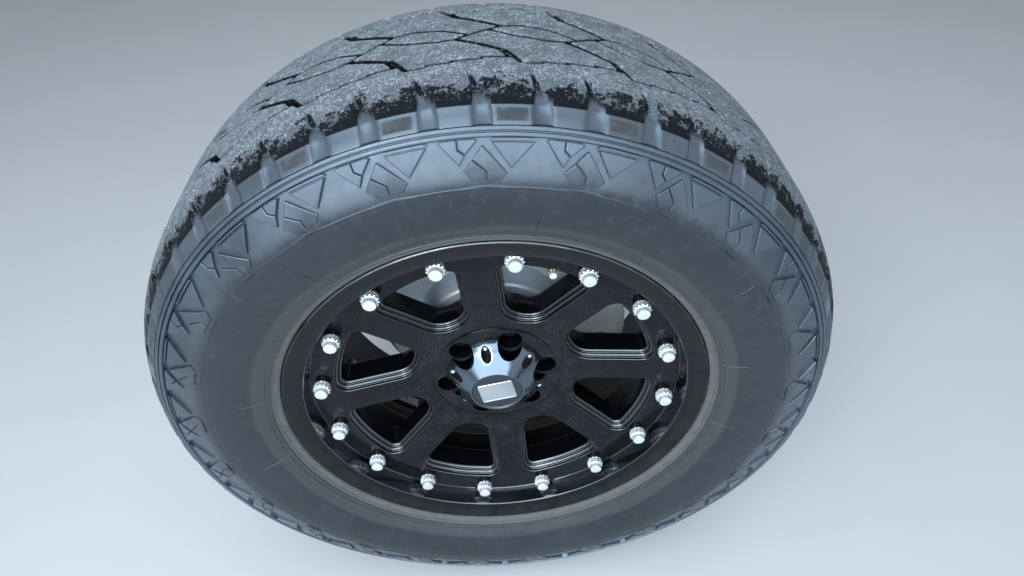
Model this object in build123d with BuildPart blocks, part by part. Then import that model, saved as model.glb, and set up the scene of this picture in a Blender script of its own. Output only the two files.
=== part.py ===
from build123d import *
from math import cos, degrees, pi, radians, sin, sqrt
import os

os.makedirs("parts", exist_ok=True)

# Off-road wheel, tyre and disc-braked wheel end of a live rear axle. Millimetres.
# +Z is up, +X is the front of the vehicle and -Y points away from it. The origin is
# the centre of the face that bolts to the axle tube. "out" is the distance from that
# face along -Y, and angles run from +X towards +Z, in degrees.

# How finely round shapes are cut into flats
flats = 48
hub_flats = 32
small_flats = 8

# Rim
rim_seat_d = 512.8
rim_width = 228.6
rim_flange_height = 17.3
rim_flange_wall = 13.0
hub_face_out = 120.0
wheel_offset = 6.5
bead_seat_width = 20.0
well_depth = 30.4
well_end = 61.0
well_start = 9.0
well_slope = 23.0
barrel_wall = 7.0
barrel_step = 6.0

# Wheel face
spokes = 8
spoke_width = 38.0
spoke_angle = 93.2
face_depth = 34.4
lip_inner_r = 247.7
lip_dish = 7.4
lip_wall_draft = 2.8
window_outer_r = 213.0
window_inner_r = 105.0
window_corner_r = 17.0
window_corner_flats = 3
ledges = 2
ledge_step = 4.2
hub_depth = 54.0
hub_rim_r = 90.0
hub_recess_r = 86.0
hub_recess_depth = 2.0
spoke_thickness = 42.0
spoke_pocket_outer_r = 198.0
spoke_pocket_inner_r = 118.0
spoke_pocket_width = 26.0
spoke_pocket_roof = 34.0
hub_pad_r = 93.0
centre_bore_r = 43.6

# Lip bolts
lip_bolts = 16
lip_bolt_circle_r = 227.8
lip_bolt_angle = 104.4
bolt_foot_r = 8.6
bolt_collar_r = 11.8
bolt_foot_height = 5.5
bolt_collar_height = 7.0
bolt_tip_height = 9.5
collar_points = 10
bolt_flats = 6

# Lugs and cap
lugs = 6
lug_circle_r = 67.5
lug_angle = 11.0
stud_r = 7.0
stud_head_r = 9.5
stud_head = 5.0
stud_length = 26.0
lug_hole_r = 8.0
lug_pocket_r = 16.5
lug_seat_depth = 106.0
nut_r = 12.5
nut_length = 34.0
cap_front_depth = 24.0
cap_front_r = 36.5
cap_shoulder_r = 49.0
cap_shoulder_depth = 7.5
cap_skirt_r = 60.0
cap_skirt_height = 14.0
cap_base_r = 68.0
cap_edge = 2.0
cap_notch_r = 17.5
cap_screw_circle_r = 56.5
cap_screw_pocket_length = 16.6
cap_screw_pocket_width = 12.8
cap_screw_floor = 6.0
cap_clip_depth = 30.0

# Valve and balance weights
valve_angle = 68.5
valve_inset = 6.0
valve_pocket_r = 9.0
valve_pocket_depth = 60.0
valve_nut_r = 7.0
valve_nut_height = 5.0
valve_r = 3.8
valve_length = 24.0
valve_cap_r = 4.8
valve_cap_length = 12.0
weights = 7
weight_angle = 200.0
weight_out = 60.0
weight_length = 20.0
weight_width = 15.0
weight_height = 4.0
weight_pitch = 1.06

# Tyre
tyre_od = 892.0
sidewall_bulge = 27.5
widest_r = 355.0
lower_wall_r = 310.0
lower_wall_inset = 9.5
shoulder_ring_drop = 35.0
shoulder_ring_inset = 8.0
shoulder_mid_drop = 19.5
shoulder_mid_inset = 8.5
shoulder_edge_drop = 9.0
shoulder_edge_inset = 31.0
crown_inset = 70.0
bead_rise = 3.5
bead_wall = 14.0
tread_wall = 20.0
tread_cavity_inset = 40.0
sidewall_wall = 13.0
lug_groups = 25
groove_angle = 103.2
narrow_lug = 6.75
groove_width = 18.0
groove_end_width = 9.0
groove_reach = 54.0
zigzag_width = 10.0
zigzag_depth = 11.0
zigzag_kink_along = 24.0
zigzag_kink_across = 14.3
zigzag_end_along = 38.5
zigzag_end_across = 67.3

# Brake disc and hub
disc_r = 160.0
disc_face_out = 74.0
disc_thickness = 22.0
disc_plate = 7.0
hat_r = 107.5
hat_wall = 7.0
disc_vanes = 24
vane_thickness = 4.0
hub_flange_r = 85.0
hub_flange_thickness = 12.0
hub_neck_r = 40.0
pilot_r = 41.6
pilot_length = 12.0
pilot_wall = 8.0
shaft_r = 24.0
spline_r = 17.5
spline_length = 62.0
spline_grooves = 12
spline_groove_width = 3.0
spline_groove_depth = 1.2

# Axle end
running_clearance = 0.05
soft_gap = 0.3
moving_gap = 5.0
pad_gap = 0.5
housing_r = 52.0
housing_length = 66.0
flange_thickness = 14.0
flange_spacing_x = 90.0
flange_spacing_z = 72.0
flange_hole_r = 6.6
flange_corner_r = 17.0
flange_chamfer = 12.0
ear_out = 16.0
ear_thickness = 10.0
ear_r = 12.0
shield_sheet = 2.0
shield_margin = 14.0
shield_lip = 9.0
shield_gap_angle = 92.0

# Caliper
caliper_angle = 10.0
caliper_span = 40.0
pad_span = 42.0
pad_hat_gap = 5.5
pad_edge = 2.0
lining_thickness = 9.0
backing_plate = 5.5
finger_thickness = 10.0
finger_inset_angle = 2.0
finger_slot = 26.0
bridge_gap = 7.0
bridge_wall = 23.0
body_margin = 8.0
caliper_back_out = -12.0
ear_reach = 10.0
pin_boss_r = 8.0
hose_port_r = 5.0
hose_inset = 18.0
hose_port_depth = 12.0
hose_port_angle = -12.0
bleed_angle = 13.0
bleed_nut_r = 5.0
bleed_nut_height = 8.0
bleed_r = 3.0
bleed_length = 17.0
bracket_plate = 12.0
bracket_inner_r = 74.0
bracket_bolt_r = 88.0
bracket_bolt_angle = 24.0
bracket_screw_r = 6.0
bracket_head_r = 10.0
bracket_head = 8.0
bracket_plate_margin = 8.0
arm_gap_angle = 6.0
arm_span = 9.0
arm_outer_inset = 4.0
pin_drop = 8.0
pin_angle = 30.5
pin_r = 5.0
pin_head_r = 8.0
pin_head = 6.0

# Places that follow from the sizes above
centre_out = hub_face_out - wheel_offset
rim_half = rim_width / 2 + rim_flange_wall
rim_out = centre_out + rim_half
seat_r = rim_seat_d / 2
flange_r = seat_r + rim_flange_height
seat_start = rim_half - rim_flange_wall
well_r = seat_r - well_depth
face_out = rim_out - face_depth
hub_out = rim_out - hub_depth
step_r = seat_r - barrel_wall - barrel_step
valve_circle_r = window_outer_r - valve_inset
valve_floor_out = rim_out - valve_pocket_depth
tyre_r = tyre_od / 2
shoulder_ring_r = tyre_r - shoulder_ring_drop
hat_inside_out = hub_face_out - hat_wall
lug_seat_out = rim_out - lug_seat_depth
pad_outer_r = disc_r - pad_edge
pad_inner_r = hat_r + pad_hat_gap
caliper_inner_r = pad_inner_r - body_margin
piston_circle_r = (pad_inner_r + pad_outer_r) / 2
pin_circle_r = disc_r - pin_drop
bridge_inner_r = disc_r + bridge_gap
bridge_outer_r = bridge_inner_r + bridge_wall
hose_circle_r = bridge_outer_r - hose_inset
shield_r = disc_r + shield_margin
rim_corners = [spoke_angle + k * 360 / flats for k in range(flats)]
hub_corners = [spoke_angle + k * 360 / hub_flats for k in range(hub_flats)]


def across(out):
    """Plane square to the wheel's axis, facing outwards."""
    return Plane.XZ.offset(out)


def spot(radius, angle):
    """Place on such a plane, from a radius and an angle."""
    return radius * cos(radians(angle)), radius * sin(radians(angle))


def turned(outline, corners):
    """Solid of a (radius, out) outline turned about the axle, flat between corner angles."""
    rings = []
    for radius, out in outline:
        rings.append([Vector(x, -out, z) for x, z in (spot(radius, a) for a in corners)])
    faces = []
    for near, far in zip(rings, rings[1:] + rings[:1]):
        for k in range(len(corners)):
            loop = [near[k - 1], near[k], far[k], far[k - 1]]
            points = [p for i, p in enumerate(loop) if p != loop[i - 1]]
            if len(points) > 2:
                faces.append(Face(Wire.make_polygon(points)))
    return Solid(Shell(faces))


def sector(out, r_in, r_out, start, end):
    """Sector of a ring between two angles, on the plane at "out"."""
    steps = max(1, round((end - start) * flats / 360))
    angles = [start + (end - start) * k / steps for k in range(steps + 1)]
    with BuildSketch(across(out)) as face:
        with BuildLine():
            outer = [spot(r_out, a) for a in angles]
            inner = [spot(r_in, a) for a in reversed(angles)]
            Polyline(*outer, *inner, close=True)
        make_face()
    return face.sketch


def ring_of(count, radius, start, shape_r, sides, out):
    """Polygons spaced evenly on a circle, on the plane at "out"."""
    with BuildSketch(across(out)) as face:
        with PolarLocations(radius, count, start_angle=start):
            RegularPolygon(shape_r, sides)
    return face.sketch


def save(part, label):
    part.label = label
    export_step(part, f"parts/{label}.step")


# Wheel casting: barrel and dished face in one outline, as (radius, out)
def barrel_half(side):
    """Tyre side of the barrel, from a flange's outer corner in to the bead seat."""
    station = [
        (flange_r, rim_half),
        (flange_r, rim_half - rim_flange_wall / 2),
        (seat_r, seat_start),
        (seat_r, seat_start - bead_seat_width),
    ]
    return [(r, centre_out + side * s) for r, s in station]


def window(inset):
    """Corners of one window on +X, its sides parallel to the spokes beside it."""
    half_pitch = 180 / spokes
    quarter = degrees(pi / 2)
    corner_r = window_corner_r - inset
    from_spoke = spoke_width / 2 + window_corner_r
    upper = [spot(window_outer_r - inset, 360 / flats)]
    for centre_r, outer in (
        (window_outer_r - window_corner_r, True),
        (window_inner_r + window_corner_r, False),
    ):
        centre_angle = half_pitch - degrees(from_spoke / centre_r)
        cx, cy = spot(centre_r, centre_angle)
        start = centre_angle if outer else half_pitch + quarter
        end = half_pitch + quarter if outer else centre_angle + 180
        for k in range(window_corner_flats + 1):
            dx, dy = spot(corner_r, start + (end - start) * k / window_corner_flats)
            upper.append((cx + dx, cy + dy))
    lower = [(x, -y) for x, y in reversed(upper)]
    return [(window_outer_r - inset, 0), *upper, *lower]


window_cutters = []
face_slope = (face_out - hub_out) / (window_outer_r - hub_rim_r)
for step in range(ledges + 1):
    with BuildPart() as cutter:
        with BuildSketch(across(hub_face_out)):
            with BuildLine():
                Polyline(*window(step * ledge_step), close=True)
            make_face()
        extrude(amount=rim_out - hub_face_out)
        if step < ledges:
            depth = (step + 1) * ledge_step
            far_r = window_outer_r + window_corner_r
            in_front = [
                (hub_rim_r, hub_out - depth),
                (far_r, face_out - depth + window_corner_r * face_slope),
                (far_r, rim_out),
                (hub_rim_r, rim_out),
            ]
            window_corners = [k * 360 / flats for k in range(flats)]
            add(turned(in_front, window_corners), mode=Mode.INTERSECT)
    for k in range(spokes):
        angle = spoke_angle + (k + 0.5) * 360 / spokes
        window_cutters.append(cutter.part.rotate(Axis.Y, -angle))

barrel_outside = [
    *barrel_half(1),
    (well_r, centre_out + well_end),
    (well_r, centre_out + well_start),
    (seat_r, centre_out - well_slope),
    *barrel_half(-1)[2::-1],
]
brake_side = [
    (step_r, centre_out - rim_half),
    (step_r, centre_out - well_slope),
    (well_r - barrel_wall, centre_out + well_start),
    (well_r - barrel_wall, face_out - spoke_thickness),
    (hub_pad_r + barrel_wall, hub_out - spoke_thickness),
    (hub_pad_r, hub_face_out),
    (centre_bore_r, hub_face_out),
]
face_side = [
    (centre_bore_r, hub_out - hub_recess_depth),
    (hub_recess_r, hub_out - hub_recess_depth),
    (hub_rim_r, hub_out),
    (window_outer_r, face_out),
    (lip_inner_r - lip_wall_draft, face_out),
    (lip_inner_r, rim_out - lip_dish),
]
with BuildPart() as wheel:
    add(turned(barrel_outside + brake_side + face_side, rim_corners))
    add(window_cutters, mode=Mode.SUBTRACT)
    pockets = ring_of(lugs, lug_circle_r, lug_angle, lug_pocket_r, 2 * small_flats, lug_seat_out)
    extrude(pockets, amount=lug_seat_depth, mode=Mode.SUBTRACT)
    holes = ring_of(lugs, lug_circle_r, lug_angle, lug_hole_r, small_flats, hub_face_out)
    extrude(holes, amount=lug_seat_out - hub_face_out, mode=Mode.SUBTRACT)
    # Hollow in the back of each spoke
    with BuildSketch(across(hub_face_out)):
        with PolarLocations((spoke_pocket_outer_r + spoke_pocket_inner_r) / 2, spokes, start_angle=spoke_angle):
            Rectangle(spoke_pocket_outer_r - spoke_pocket_inner_r, spoke_pocket_width)
    extrude(amount=face_out - spoke_pocket_roof - hub_face_out, mode=Mode.SUBTRACT)
    # Pocket for the valve in the outer wall of one window
    valve_pocket = ring_of(1, valve_circle_r, valve_angle, valve_pocket_r, small_flats, valve_floor_out)
    extrude(valve_pocket, amount=face_out - valve_floor_out, mode=Mode.SUBTRACT)
save(wheel.part, "wheel_casting")


# Tyre: hollow carcass with one flat for each shoulder lug, and grooves between the lugs
groove_angles = []
for k in range(lug_groups):
    groove_angles.append(groove_angle + k * 360 / lug_groups)
    groove_angles.append(groove_angle + k * 360 / lug_groups + narrow_lug)

sidewall_out = rim_half + sidewall_bulge
outside = [
    (tyre_r, rim_half - crown_inset),
    (tyre_r - shoulder_edge_drop, rim_half - shoulder_edge_inset),
    (tyre_r - shoulder_mid_drop, rim_half - shoulder_mid_inset),
    (shoulder_ring_r, rim_half + shoulder_ring_inset),
    (widest_r, sidewall_out),
    (lower_wall_r, sidewall_out - lower_wall_inset),
    (flange_r + bead_rise, rim_half - bead_rise),
    (seat_r - bead_rise, seat_start),
]
inside = [
    (tyre_r - tread_wall, rim_half - tread_cavity_inset),
    (widest_r, sidewall_out - sidewall_wall),
    (seat_r + bead_wall, seat_start - bead_seat_width),
    (well_r, seat_start - bead_seat_width),
]


def both_sides(half):
    """Closed (radius, out) outline from its half on the outer side of the tyre's middle."""
    return [(r, centre_out + s) for r, s in half] + [(r, centre_out - s) for r, s in reversed(half)]


with BuildPart() as groove:
    # Along +X: floor from the shoulder ring up to the tread, narrower at its inner end
    with BuildSketch(Plane(origin=(0, 0, 0), x_dir=(1, 0, 0), z_dir=(0, 0, -1))):
        with BuildLine():
            Polyline(
                (shoulder_ring_r, rim_out + shoulder_ring_inset),
                (tyre_r, rim_out - groove_reach),
                (tyre_od, rim_out - groove_reach),
                (tyre_od, rim_out + groove_reach),
                (shoulder_ring_r, rim_out + groove_reach),
                close=True,
            )
        make_face()
    extrude(amount=groove_width, both=True)
    with BuildSketch(Plane.YZ):
        with BuildLine():
            Polyline(
                (-rim_out - shoulder_ring_inset, groove_width / 2),
                (-rim_out + groove_reach, groove_end_width / 2),
                (-rim_out + groove_reach, -groove_end_width / 2),
                (-rim_out - shoulder_ring_inset, -groove_width / 2),
                close=True,
            )
        make_face()
    extrude(amount=tyre_od, mode=Mode.INTERSECT)
far_groove = mirror(groove.part, about=across(centre_out))

with BuildPart() as zigzag:
    # On the tread at +X, as (along the tread, outwards), the same turned half round
    path = [
        (-zigzag_end_along, zigzag_end_across),
        (zigzag_kink_along, zigzag_kink_across),
        (-zigzag_kink_along, -zigzag_kink_across),
        (zigzag_end_along, -zigzag_end_across),
    ]
    floor = Plane(origin=(tyre_r - zigzag_depth, -centre_out, 0), x_dir=(0, 0, 1), z_dir=(1, 0, 0))
    with BuildSketch(floor):
        with BuildLine():
            ahead = [(along + zigzag_width / 2, across_it) for along, across_it in path]
            behind = [(along - zigzag_width / 2, across_it) for along, across_it in path]
            Polyline(*ahead, *reversed(behind), close=True)
        make_face()
    extrude(amount=2 * zigzag_depth)

with BuildPart() as tyre:
    add(turned(both_sides(outside), sorted(groove_angles)))
    add(turned(both_sides(inside), sorted(groove_angles)[::2]), mode=Mode.SUBTRACT)
    rim_blank = [(0, rim_out), *barrel_outside, (0, centre_out - rim_half)]
    add(turned(rim_blank, rim_corners), mode=Mode.SUBTRACT)
    grooves = [groove.part.rotate(Axis.Y, -angle) for angle in groove_angles]
    grooves += [far_groove.rotate(Axis.Y, -angle) for angle in groove_angles]
    grooves += [zigzag.part.rotate(Axis.Y, -angle) for angle in groove_angles[::2]]
    add(grooves, mode=Mode.SUBTRACT)
save(tyre.part, "tyre")


# Lip bolts: plain body with a toothed collar, seated on the outer ring of the face
with BuildPart() as lip_bolt:
    circle = (lip_bolts, lip_bolt_circle_r, lip_bolt_angle)
    extrude(
        ring_of(*circle, bolt_foot_r, bolt_flats, face_out),
        amount=bolt_foot_height + bolt_collar_height + bolt_tip_height,
    )
    collars = ring_of(*circle, bolt_collar_r, collar_points, face_out + bolt_foot_height)
    extrude(collars, amount=bolt_collar_height)
save(lip_bolt.part, "lip_bolts")


# Hub: flange and pilot, with the shaft that turns in the housing and its splined end
hub_flange_back = hat_inside_out - hub_flange_thickness
hub_outline = [
    (0, housing_length + moving_gap),
    (shaft_r, housing_length + moving_gap),
    (hub_neck_r, hub_flange_back),
    (hub_flange_r, hub_flange_back),
    (hub_flange_r, hat_inside_out),
    (pilot_r, hat_inside_out),
    (pilot_r, hub_face_out + pilot_length),
    (pilot_r - pilot_wall, hub_face_out + pilot_length),
    (pilot_r - pilot_wall, hub_face_out),
    (0, hub_face_out),
]
with BuildPart() as hub:
    add(turned(hub_outline, hub_corners))
    with BuildSketch(across(0)):
        Circle(shaft_r)
    extrude(amount=housing_length + moving_gap)
    with BuildSketch(across(0)):
        Circle(spline_r)
        with PolarLocations(spline_r, spline_grooves):
            Rectangle(2 * spline_groove_depth, spline_groove_width, mode=Mode.SUBTRACT)
    extrude(amount=-spline_length)
    stud_holes = ring_of(lugs, lug_circle_r, lug_angle, stud_r, small_flats, hub_flange_back)
    extrude(stud_holes, amount=hub_flange_thickness, mode=Mode.SUBTRACT)
save(hub.part, "hub_shaft")

stud_tip_out = lug_seat_out + stud_length
with BuildPart() as studs:
    shanks = ring_of(lugs, lug_circle_r, lug_angle, stud_r, small_flats, hub_flange_back)
    extrude(shanks, amount=stud_tip_out - hub_flange_back)
    heads = ring_of(lugs, lug_circle_r, lug_angle, stud_head_r, small_flats, hub_flange_back)
    extrude(heads, amount=-stud_head)
save(studs.part, "wheel_studs")

# Lug nuts: capped hexagons at the bottom of each pocket
with BuildPart() as nuts:
    extrude(ring_of(lugs, lug_circle_r, lug_angle, nut_r, 6, lug_seat_out), amount=nut_length)
    threads = ring_of(lugs, lug_circle_r, lug_angle, stud_r, small_flats, lug_seat_out)
    extrude(threads, amount=stud_length, mode=Mode.SUBTRACT)
save(nuts.part, "lug_nuts")

# Brake disc: top-hat bell and two plates with vanes between them
disc_back_out = disc_face_out - disc_thickness
disc_outline = [
    (pilot_r + soft_gap, hat_inside_out),
    (pilot_r + soft_gap, hub_face_out),
    (hat_r, hub_face_out),
    (hat_r, disc_face_out),
    (disc_r, disc_face_out),
    (disc_r, disc_face_out - disc_plate),
    (hat_r - hat_wall, disc_face_out - disc_plate),
    (hat_r - hat_wall, hat_inside_out),
]
back_plate = [
    (hat_r, disc_back_out),
    (disc_r, disc_back_out),
    (disc_r, disc_back_out + disc_plate),
    (hat_r, disc_back_out + disc_plate),
]
with BuildPart() as disc:
    add(turned(disc_outline, hub_corners))
    add(turned(back_plate, hub_corners))
    with BuildSketch(across(disc_back_out + disc_plate)):
        with PolarLocations((disc_r + hat_r) / 2, disc_vanes):
            Rectangle(disc_r - hat_r - moving_gap, vane_thickness)
    extrude(amount=disc_thickness - 2 * disc_plate)
    holes = ring_of(lugs, lug_circle_r, lug_angle, lug_hole_r, small_flats, hat_inside_out)
    extrude(holes, amount=hat_wall, mode=Mode.SUBTRACT)
save(disc.part, "brake_disc")

# Centre cap: dome notched round the lugs, with screw pockets and a plug that clips into the bore
cap_front_out = rim_out - cap_front_depth
cap_base_out = hub_out - hub_recess_depth
cap_outline = [
    (0, cap_front_out),
    (cap_front_r, cap_front_out),
    (cap_shoulder_r, cap_front_out - cap_shoulder_depth),
    (cap_skirt_r, cap_base_out + cap_skirt_height),
    (cap_base_r, cap_base_out + cap_edge),
    (cap_base_r, cap_base_out),
    (centre_bore_r - soft_gap, cap_base_out),
    (centre_bore_r - soft_gap, cap_base_out - cap_clip_depth + pilot_length),
    (0, cap_base_out - cap_clip_depth + pilot_length),
]
cap_oval = []
for k in range(small_flats):
    x, y = spot(1, k * 360 / small_flats)
    cap_oval.append((x * cap_screw_pocket_length / 2, y * cap_screw_pocket_width / 2))
with BuildPart() as cap:
    add(turned(cap_outline, hub_corners))
    notches = ring_of(lugs, lug_circle_r, lug_angle, cap_notch_r, small_flats, cap_base_out)
    extrude(notches, amount=rim_out - cap_base_out, mode=Mode.SUBTRACT)
    with BuildSketch(across(cap_base_out + cap_screw_floor)):
        with PolarLocations(cap_screw_circle_r, lugs, start_angle=lug_angle + 180 / lugs):
            Polygon(*cap_oval)
    extrude(amount=rim_out - cap_base_out, mode=Mode.SUBTRACT)
save(cap.part, "centre_cap")

# Valve: stem standing on the floor of its pocket, and the cap on it
with BuildPart() as valve:
    place = (1, valve_circle_r, valve_angle)
    extrude(ring_of(*place, valve_nut_r, 6, valve_floor_out), amount=valve_nut_height)
    extrude(ring_of(*place, valve_r, small_flats, valve_floor_out), amount=valve_length)
save(valve.part, "valve_stem")

valve_cap_out = valve_floor_out + valve_length - valve_cap_length / 2
with BuildPart() as valve_cap:
    extrude(ring_of(*place, valve_cap_r, small_flats, valve_cap_out), amount=valve_cap_length)
    inside = ring_of(*place, valve_r, small_flats, valve_cap_out)
    extrude(inside, amount=valve_cap_length / 2, mode=Mode.SUBTRACT)
save(valve_cap.part, "valve_cap")

# Balance weights: a row of stick-on blocks inside the barrel
with BuildPart() as weight:
    tape_r = step_r * cos(pi / flats) - soft_gap
    turn = degrees(weight_length / tape_r)
    for k in range(weights):
        start = weight_angle + k * weight_pitch * turn
        strip = sector(weight_out, tape_r - weight_height, tape_r, start, start + turn)
        extrude(strip, amount=weight_width)
save(weight.part, "balance_weights")

# Axle end: housing with a square flange, fixed to the axle tube at the origin
with BuildPart() as housing:
    with BuildSketch(across(0)):
        flange = Rectangle(
            flange_spacing_x + 2 * flange_corner_r,
            flange_spacing_z + 2 * flange_corner_r,
        )
        chamfer(flange.vertices(), flange_chamfer)
    extrude(amount=flange_thickness)
    barrel_outline = [(0, 0), (housing_r, 0), (housing_r, housing_length), (0, housing_length)]
    add(turned(barrel_outline, hub_corners))
    with BuildSketch(across(ear_out)):
        for side in (-1, 1):
            ear_angle = caliper_angle + side * bracket_bolt_angle
            with Locations(spot(bracket_bolt_r, ear_angle)):
                RegularPolygon(ear_r, small_flats, rotation=ear_angle)
            with Locations(Rotation(0, 0, ear_angle)):
                with Locations((bracket_bolt_r / 2, 0)):
                    Rectangle(bracket_bolt_r, 2 * ear_r * cos(pi / small_flats))
    extrude(amount=ear_thickness)
    with BuildSketch(across(0)):
        Circle(shaft_r + running_clearance)
    extrude(amount=housing_length, mode=Mode.SUBTRACT)
    with BuildSketch(across(0)):
        with GridLocations(flange_spacing_x, flange_spacing_z, 2, 2):
            Circle(flange_hole_r)
    extrude(amount=flange_thickness, mode=Mode.SUBTRACT)
    for side in (-1, 1):
        place = (1, bracket_bolt_r, caliper_angle + side * bracket_bolt_angle)
        screw_hole = ring_of(*place, bracket_screw_r, small_flats, ear_out)
        extrude(screw_hole, amount=ear_thickness, mode=Mode.SUBTRACT)
save(housing.part, "bearing_housing")

# Dust shield: pressed dish behind the disc, open where the caliper stands
shield_out = disc_back_out - moving_gap - shield_sheet
shield_outline = [
    (housing_r, shield_out),
    (shield_r - shield_sheet, shield_out),
    (shield_r, shield_out + shield_sheet),
    (shield_r, shield_out + shield_lip),
    (shield_r - shield_sheet, shield_out + shield_lip),
    (shield_r - shield_sheet, shield_out + shield_sheet),
    (housing_r, shield_out + shield_sheet),
]
with BuildPart() as shield:
    add(turned(shield_outline, hub_corners))
    low = caliper_angle - shield_gap_angle / 2
    high = caliper_angle + shield_gap_angle / 2
    gap = sector(shield_out, bracket_inner_r - moving_gap, shield_r + moving_gap, low, high)
    extrude(gap, amount=shield_lip, mode=Mode.SUBTRACT)
save(shield.part, "dust_shield")

# Caliper bracket: carrier bolted to the housing's ears, with arms over the disc's edge
bracket_out = ear_out + ear_thickness
arm_start = caliper_span / 2 + arm_gap_angle
arm_r = bridge_outer_r - arm_outer_inset
outer_plate_out = disc_face_out + pad_gap + lining_thickness
with BuildPart() as bracket:
    low = caliper_angle - bracket_bolt_angle - bracket_plate_margin
    high = caliper_angle + bracket_bolt_angle + bracket_plate_margin
    extrude(sector(bracket_out, bracket_inner_r, bracket_bolt_r + ear_r, low, high), amount=bracket_plate)
    for side in (-1, 1):
        start = caliper_angle + side * arm_start
        low, high = sorted((start, start + side * arm_span))
        extrude(sector(bracket_out, bracket_inner_r, arm_r, low, high), amount=bracket_plate)
        over_disc = sector(bracket_out, disc_r + moving_gap, arm_r, low, high)
        extrude(over_disc, amount=outer_plate_out + backing_plate - bracket_out)
    for side in (-1, 1):
        place = (1, bracket_bolt_r, caliper_angle + side * bracket_bolt_angle)
        screw_hole = ring_of(*place, bracket_screw_r, small_flats, bracket_out)
        extrude(screw_hole, amount=bracket_plate, mode=Mode.SUBTRACT)
save(bracket.part, "caliper_bracket")

with BuildPart() as bracket_bolts:
    for side in (-1, 1):
        place = (1, bracket_bolt_r, caliper_angle + side * bracket_bolt_angle)
        shank = ring_of(*place, bracket_screw_r, small_flats, ear_out)
        extrude(shank, amount=ear_thickness + bracket_plate)
        extrude(ring_of(*place, bracket_head_r, 6, ear_out), amount=-bracket_head)
save(bracket_bolts.part, "bracket_bolts")

# Pads: friction linings either side of the disc, on steel backing plates
with BuildPart() as pad_linings:
    low = caliper_angle - pad_span / 2
    high = caliper_angle + pad_span / 2
    front = sector(disc_face_out + pad_gap, pad_inner_r, pad_outer_r, low, high)
    extrude(front, amount=lining_thickness)
    back = sector(disc_back_out - pad_gap, pad_inner_r, pad_outer_r, low, high)
    extrude(back, amount=-lining_thickness)
save(pad_linings.part, "pad_linings")

inner_plate_out = disc_back_out - pad_gap - lining_thickness
with BuildPart() as pad_plates:
    low = caliper_angle - arm_start
    high = caliper_angle + arm_start
    front = sector(outer_plate_out, pad_inner_r, pad_outer_r, low, high)
    extrude(front, amount=backing_plate)
    back = sector(inner_plate_out, pad_inner_r, pad_outer_r, low, high)
    extrude(back, amount=-backing_plate)
save(pad_plates.part, "pad_plates")

# Caliper: cylinder housing behind the disc, bridge over it and two fingers in front
body_out = inner_plate_out - backing_plate
finger_out = outer_plate_out + backing_plate
low = caliper_angle - caliper_span / 2
high = caliper_angle + caliper_span / 2
with BuildPart() as caliper:
    body = sector(caliper_back_out, caliper_inner_r, bridge_outer_r, low, high)
    extrude(body, amount=body_out - caliper_back_out)
    bridge = sector(body_out, bridge_inner_r, bridge_outer_r, low, high)
    extrude(bridge, amount=finger_out + finger_thickness - body_out)
    fingers = sector(
        finger_out,
        pad_inner_r,
        bridge_outer_r,
        low + finger_inset_angle,
        high - finger_inset_angle,
    )
    extrude(fingers, amount=finger_thickness)
    with BuildSketch(across(finger_out)):
        with Locations(Rotation(0, 0, caliper_angle)):
            with Locations((piston_circle_r, 0)):
                RegularPolygon(finger_slot / 2, small_flats)
            with Locations(((pad_inner_r + piston_circle_r) / 2 - finger_thickness, 0)):
                Rectangle(
                    piston_circle_r - pad_inner_r + 2 * finger_thickness,
                    finger_slot * cos(pi / small_flats),
                )
    extrude(amount=finger_thickness, mode=Mode.SUBTRACT)
    for side in (-1, 1):
        boss_angle = caliper_angle + side * pin_angle
        ends = sorted((caliper_angle + side * caliper_span / 2, boss_angle))
        ear = sector(0, pin_circle_r - pin_boss_r, pin_circle_r + pin_boss_r, *ends)
        extrude(ear, amount=ear_reach)
        place = (1, pin_circle_r, boss_angle)
        extrude(ring_of(*place, pin_boss_r, small_flats, 0), amount=ear_reach)
        extrude(ring_of(*place, pin_r, small_flats, 0), amount=ear_reach, mode=Mode.SUBTRACT)
    with BuildSketch(across(caliper_back_out)):
        with Locations(spot(hose_circle_r, caliper_angle + hose_port_angle)):
            Circle(hose_port_r)
    extrude(amount=hose_port_depth, mode=Mode.SUBTRACT)
save(caliper.part, "caliper_body")

with BuildPart() as pins:
    for side in (-1, 1):
        place = (1, pin_circle_r, caliper_angle + side * pin_angle)
        extrude(ring_of(*place, pin_r, small_flats, 0), amount=bracket_out)
        extrude(ring_of(*place, pin_head_r, 6, 0), amount=-pin_head)
save(pins.part, "slide_pins")

with BuildPart() as bleed:
    place = (1, hose_circle_r, caliper_angle + bleed_angle)
    extrude(ring_of(*place, bleed_nut_r, 6, caliper_back_out), amount=-bleed_nut_height)
    extrude(ring_of(*place, bleed_r, small_flats, caliper_back_out), amount=-bleed_length)
save(bleed.part, "bleed_screw")
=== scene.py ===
import random
from functools import partial
from math import acos, asin, ceil, cos, degrees, pi, radians, sin, tan

import bmesh
import bpy
import numpy as np
from mathutils import Matrix, Vector
from mathutils.geometry import delaunay_2d_cdt


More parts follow.
